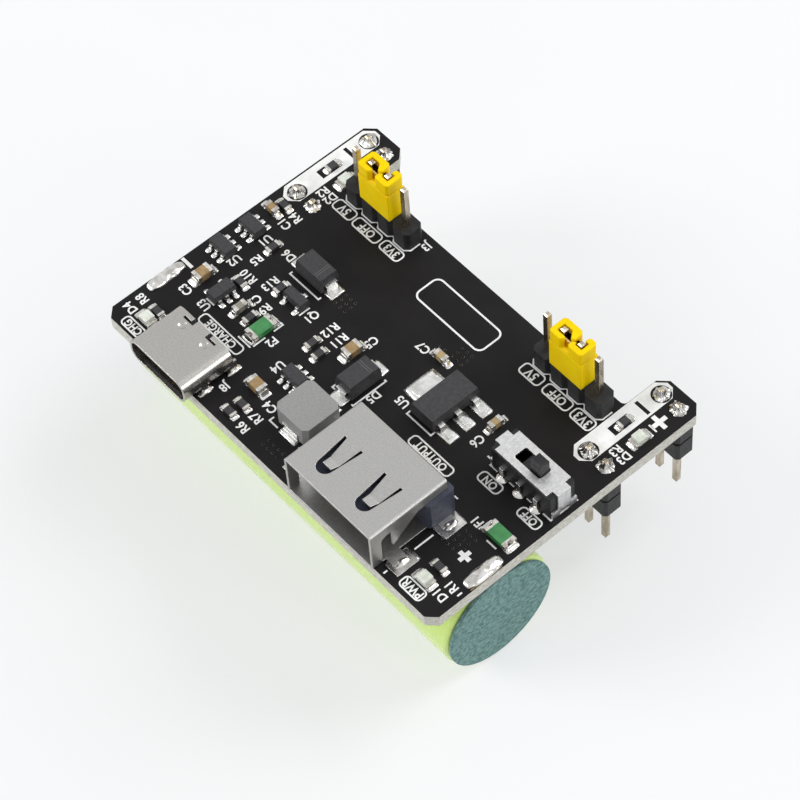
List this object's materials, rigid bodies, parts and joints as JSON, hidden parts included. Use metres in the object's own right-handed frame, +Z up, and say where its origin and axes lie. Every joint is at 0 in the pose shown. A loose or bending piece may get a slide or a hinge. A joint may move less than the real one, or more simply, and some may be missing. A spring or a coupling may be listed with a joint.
{
  "type": "breadboard power supply module",
  "caption": "Circuit board with a cylindrical cell under it, USB-C and USB-A sockets, slide switch, jumper headers with caps, and header pins for a breadboard's power rails.",
  "frame": {"origin": "centre of the bounding box in X and Y, at the lowest point of the cell in Z", "axes": "+X to the right along the long front edge, +Y from the sockets' edge to the tabs at the back, +Z up, out of the board's top face"},
  "size_m": [0.0518, 0.0384, 0.0247],
  "materials": {
    "solder_mask": "satin black lacquer over laminate",
    "black_plastic": "moulded, satin",
    "yellow_plastic": "moulded, semi-gloss",
    "tinned_pin": "tin plate, satin",
    "tinned_end": "tin plate, matt",
    "solder": "bright solder",
    "nickel": "nickel plate",
    "gold_contact": "gold plate",
    "socket_steel": "nickel-plated steel, lightly brushed",
    "blue_grey_plastic": "moulded",
    "lime_sleeve": "shrunk film",
    "teal_fibre": "pressed fibre",
    "foam_tape": "foam",
    "grey_ferrite": "pressed powder core",
    "chip_plastic": "moulded",
    "green_laminate": "lacquered laminate",
    "tan_ceramic": "unglazed",
    "clear_lens": "clear resin, milky"
  },
  "bodies": {
    "board": {"circuit_board": "solder_mask", "rail_spacers_upper": "black_plastic", "rail_spacers_lower": "black_plastic", "rail_pins": "tinned_pin", "rail_pin_solder": "solder", "jumper_header_bases": "black_plastic", "jumper_header_pins": "tinned_pin", "under_board_solder": "solder", "battery_can": "nickel", "battery_sleeve": "lime_sleeve", "battery_strips": "nickel", "battery_strip_solder": "solder", "battery_end_discs": "teal_fibre", "battery_tape": "foam_tape", "usb_c_shell": "socket_steel", "usb_c_tongue": "black_plastic", "usb_c_contacts": "gold_contact", "usb_c_solder": "solder", "usb_a_shell": "socket_steel", "usb_a_insulator": "blue_grey_plastic", "usb_a_contacts": "gold_contact", "usb_a_solder": "solder", "switch_base": "black_plastic", "switch_cover": "socket_steel", "switch_terminals": "tinned_pin", "inductor_core": "grey_ferrite", "inductor_terminals": "tinned_pin", "regulator_body": "chip_plastic", "regulator_leads": "tinned_pin", "diode_bodies": "chip_plastic", "diode_leads": "tinned_pin", "six_lead_chips": "chip_plastic", "five_lead_chip": "chip_plastic", "transistor_body": "chip_plastic", "chip_leads": "tinned_pin", "fuse_bodies": "green_laminate", "fuse_ends": "tinned_end", "capacitor_bodies": "tan_ceramic", "capacitor_ends": "tinned_end", "resistor_bodies": "chip_plastic", "resistor_ends": "tinned_end", "light_bodies": "clear_lens", "light_ends": "tinned_end"},
    "switch_slider": {"switch_slider": "black_plastic"},
    "left_jumper": {"left_jumper_cap": "yellow_plastic", "left_jumper_clip": "nickel"},
    "right_jumper": {"right_jumper_cap": "yellow_plastic", "right_jumper_clip": "nickel"}
  },
  "joints": [
    {"name": "switch_slide", "type": "slide", "parent": "board", "child": "switch_slider", "axis": [-1, 0, 0], "range_m": [0, 0.00214]},
    {"name": "left_jumper_lift", "type": "slide", "parent": "board", "child": "left_jumper", "axis": [0, 0, 1], "range_m": [0, 0.0075]},
    {"name": "right_jumper_lift", "type": "slide", "parent": "board", "child": "right_jumper", "axis": [0, 0, 1], "range_m": [0, 0.0075]}
  ]
}
